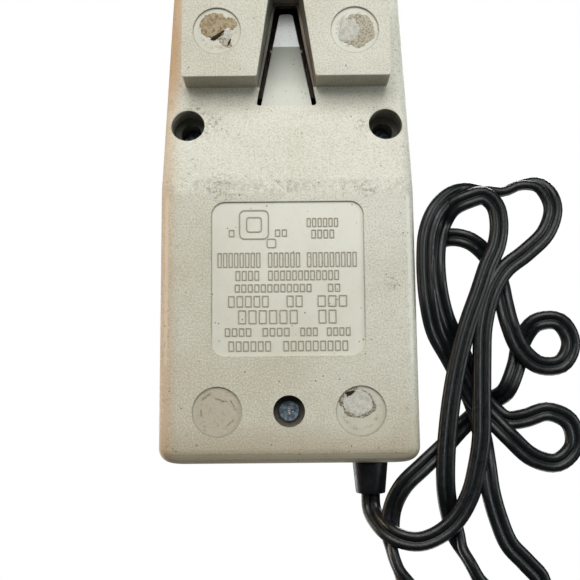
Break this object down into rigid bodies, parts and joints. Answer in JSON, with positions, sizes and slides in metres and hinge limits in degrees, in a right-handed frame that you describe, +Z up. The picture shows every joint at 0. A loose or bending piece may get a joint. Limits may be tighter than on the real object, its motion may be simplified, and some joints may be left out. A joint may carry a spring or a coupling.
{
  "type": "electric pencil sharpener",
  "caption": "Mains desk pencil sharpener: a wedge housing with a pencil opening, motor-driven rotary cutters, a slide-out shavings drawer with a latch tongue, and a flat two-core cord.",
  "frame": {"origin": "centre of the bottom of the housing, cord left out, on the plane the sharpener stands on", "axes": "+Z up; -Y is the front with the pencil opening and the drawer; +Y is the rear with the cord; +X is the right-hand side seen from the front"},
  "size_m": [0.1724, 0.3556, 0.104],
  "materials": {
    "putty_abs": "fine pebble grain, slightly soiled",
    "dark_brown_abs": "satin",
    "smoked_styrene": "clear, smoked brown",
    "black_plastic": "satin",
    "black_vinyl": "semi-gloss",
    "zinc_steel": "zinc plated",
    "lamination_steel": "oiled",
    "tool_steel": "ground",
    "copper": "enamelled wire",
    "brass": "bright",
    "white_nylon": "natural",
    "old_adhesive": "rough residue"
  },
  "bodies": {
    "housing": {"base_plate": "putty_abs", "top_cover": "putty_abs", "front_bezel": "dark_brown_abs", "pencil_guide": "black_plastic", "base_screw_left": "zinc_steel", "base_screw_right": "zinc_steel", "base_screw_rear": "zinc_steel", "foot_residue_front_left": "old_adhesive", "foot_residue_front_right": "old_adhesive", "foot_residue_rear_left": "old_adhesive", "foot_residue_rear_right": "old_adhesive", "motor_stator": "lamination_steel", "coil_bobbin": "white_nylon", "coil_winding": "copper", "motor_bracket_front": "zinc_steel", "motor_bracket_rear": "zinc_steel", "bearing_front": "brass", "bearing_rear": "brass", "cluster_pin": "zinc_steel", "ring_gear": "lamination_steel", "gear_plate": "zinc_steel", "gear_post_left": "zinc_steel", "gear_post_right": "zinc_steel", "pencil_switch": "black_plastic", "drawer_switch": "black_plastic", "strain_relief": "black_vinyl", "cord_tube": "black_vinyl", "cord_tail": "black_vinyl", "cord_coil": "black_vinyl", "cord_plug": "black_vinyl", "plug_blade_left": "brass", "plug_blade_right": "brass"},
    "rotor": {"motor_rotor": "lamination_steel"},
    "cluster": {"cluster_gear": "white_nylon"},
    "carrier": {"cutter_carrier": "lamination_steel", "cutter_pin_left": "zinc_steel", "cutter_pin_right": "zinc_steel"},
    "cutter_left": {"cutter_left": "tool_steel"},
    "cutter_right": {"cutter_right": "tool_steel"},
    "drawer": {"shavings_drawer": "smoked_styrene"},
    "latch": {"latch_tongue": "putty_abs"},
    "lever": {"switch_lever": "brass"},
    "plunger": {"drawer_plunger": "white_nylon"}
  },
  "joints": [
    {"name": "rotor_spin", "type": "hinge", "parent": "housing", "child": "rotor", "pos_m": [0, 0.01148, 0.04117], "axis": [0, -0.9524, 0.3048], "continuous": true},
    {"name": "cluster_spin", "type": "hinge", "parent": "housing", "child": "cluster", "pos_m": [0.016, -0.02818, 0.04849], "axis": [0, -0.9524, 0.3048], "continuous": true},
    {"name": "carrier_spin", "type": "hinge", "parent": "housing", "child": "carrier", "pos_m": [0, -0.03225, 0.06857], "axis": [0, -0.9524, 0.3048], "continuous": true},
    {"name": "cutter_left_spin", "type": "hinge", "parent": "carrier", "child": "cutter_left", "pos_m": [-0.007, -0.04054, 0.07123], "axis": [-0.1446, -0.9424, 0.3016], "continuous": true},
    {"name": "cutter_right_spin", "type": "hinge", "parent": "carrier", "child": "cutter_right", "pos_m": [0.007, -0.04054, 0.07123], "axis": [0.1446, -0.9424, 0.3016], "continuous": true},
    {"name": "drawer_slide", "type": "slide", "parent": "housing", "child": "drawer", "axis": [0, -0.9524, 0.3048], "range_m": [0, 0.055]},
    {"name": "latch_bend", "type": "hinge", "parent": "housing", "child": "latch", "pos_m": [0, -0.03866, 0.01298], "axis": [1, 0, 0], "range_deg": [0, 7], "stiffness_Nm_per_rad": 1},
    {"name": "lever_turn", "type": "hinge", "parent": "housing", "child": "lever", "pos_m": [0.027, -0.07618, 0.07896], "axis": [0, -0.9524, 0.3048], "range_deg": [0, 6], "stiffness_Nm_per_rad": 0.05},
    {"name": "plunger_press", "type": "slide", "parent": "housing", "child": "plunger", "axis": [0, -0.9524, 0.3048], "range_m": [-0.002, 0], "stiffness_N_per_m": 150}
  ],
  "couplings": [
    {"joint": "cluster_spin", "follows": "rotor_spin", "ratio": -0.27273},
    {"joint": "carrier_spin", "follows": "rotor_spin", "ratio": 0.090909},
    {"joint": "cutter_left_spin", "follows": "rotor_spin", "ratio": -0.19697},
    {"joint": "cutter_right_spin", "follows": "rotor_spin", "ratio": -0.19697}
  ]
}
